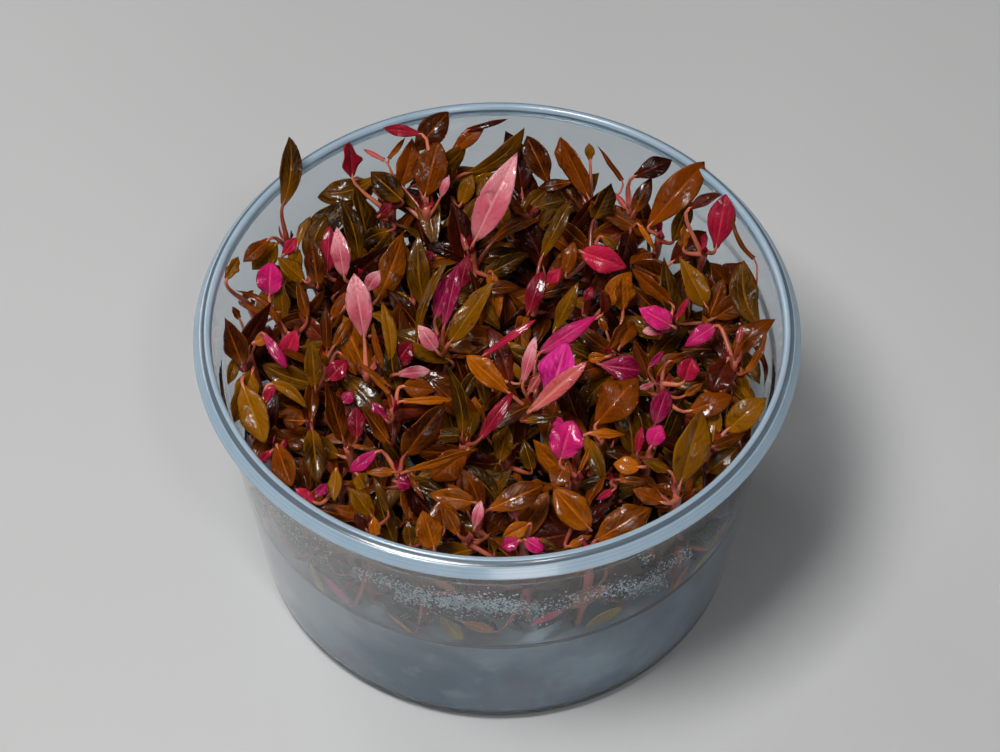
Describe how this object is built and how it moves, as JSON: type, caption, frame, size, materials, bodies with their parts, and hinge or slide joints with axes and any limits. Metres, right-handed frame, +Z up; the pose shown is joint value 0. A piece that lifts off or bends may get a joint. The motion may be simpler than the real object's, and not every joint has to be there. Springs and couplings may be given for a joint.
{
  "type": "tub of aquarium plants in gel",
  "caption": "Open round tub with a rolled rim, half full of milky gel, planted with a dense crowd of red-leaved alternanthera reineckii plantlets.",
  "frame": {"origin": "middle of the tub's underside, on the surface that it stands on", "axes": "+Z up along the tub's axis; the picture looks along +Y and down, with +X to its right"},
  "size_m": [0.117, 0.117, 0.0757],
  "materials": {
    "frosted_plastic": "translucent, slightly bluish, satin",
    "milky_gel": "milky and cloudy, wet",
    "olive_leaf": "waxy and wet",
    "brown_leaf": "waxy and wet",
    "orange_leaf": "waxy and wet",
    "dark_leaf": "waxy and wet",
    "crimson_leaf": "waxy and wet",
    "magenta_leaf": "waxy and wet"
  },
  "bodies": {
    "root": {"tub": "frosted_plastic", "gel": "milky_gel", "plantlet_01": "olive_leaf", "plantlet_02": "brown_leaf", "plantlet_03": "brown_leaf", "plantlet_04": "brown_leaf", "plantlet_05": "brown_leaf", "plantlet_06": "olive_leaf", "plantlet_07": "crimson_leaf", "plantlet_08": "brown_leaf", "plantlet_09": "olive_leaf", "plantlet_10": "olive_leaf", "plantlet_11": "brown_leaf", "plantlet_12": "brown_leaf", "plantlet_13": "olive_leaf", "plantlet_14": "dark_leaf", "plantlet_15": "brown_leaf", "plantlet_16": "dark_leaf", "plantlet_17": "brown_leaf", "plantlet_18": "dark_leaf", "plantlet_19": "brown_leaf", "plantlet_20": "brown_leaf", "plantlet_21": "orange_leaf", "plantlet_22": "crimson_leaf", "plantlet_23": "crimson_leaf", "plantlet_24": "magenta_leaf", "plantlet_25": "olive_leaf", "plantlet_26": "magenta_leaf", "plantlet_27": "olive_leaf", "plantlet_28": "brown_leaf", "plantlet_29": "brown_leaf", "plantlet_30": "brown_leaf", "plantlet_31": "olive_leaf", "plantlet_32": "crimson_leaf", "plantlet_33": "brown_leaf", "plantlet_34": "brown_leaf", "plantlet_35": "magenta_leaf", "plantlet_36": "crimson_leaf", "plantlet_37": "orange_leaf", "plantlet_38": "brown_leaf", "plantlet_39": "brown_leaf", "plantlet_40": "orange_leaf", "plantlet_41": "olive_leaf", "plantlet_42": "magenta_leaf", "plantlet_43": "orange_leaf", "plantlet_44": "crimson_leaf", "plantlet_45": "brown_leaf", "plantlet_46": "magenta_leaf", "plantlet_47": "brown_leaf", "plantlet_48": "olive_leaf", "plantlet_49": "olive_leaf", "plantlet_50": "orange_leaf", "plantlet_51": "magenta_leaf", "plantlet_52": "brown_leaf", "plantlet_53": "olive_leaf", "plantlet_54": "brown_leaf"}
  },
  "joints": []
}
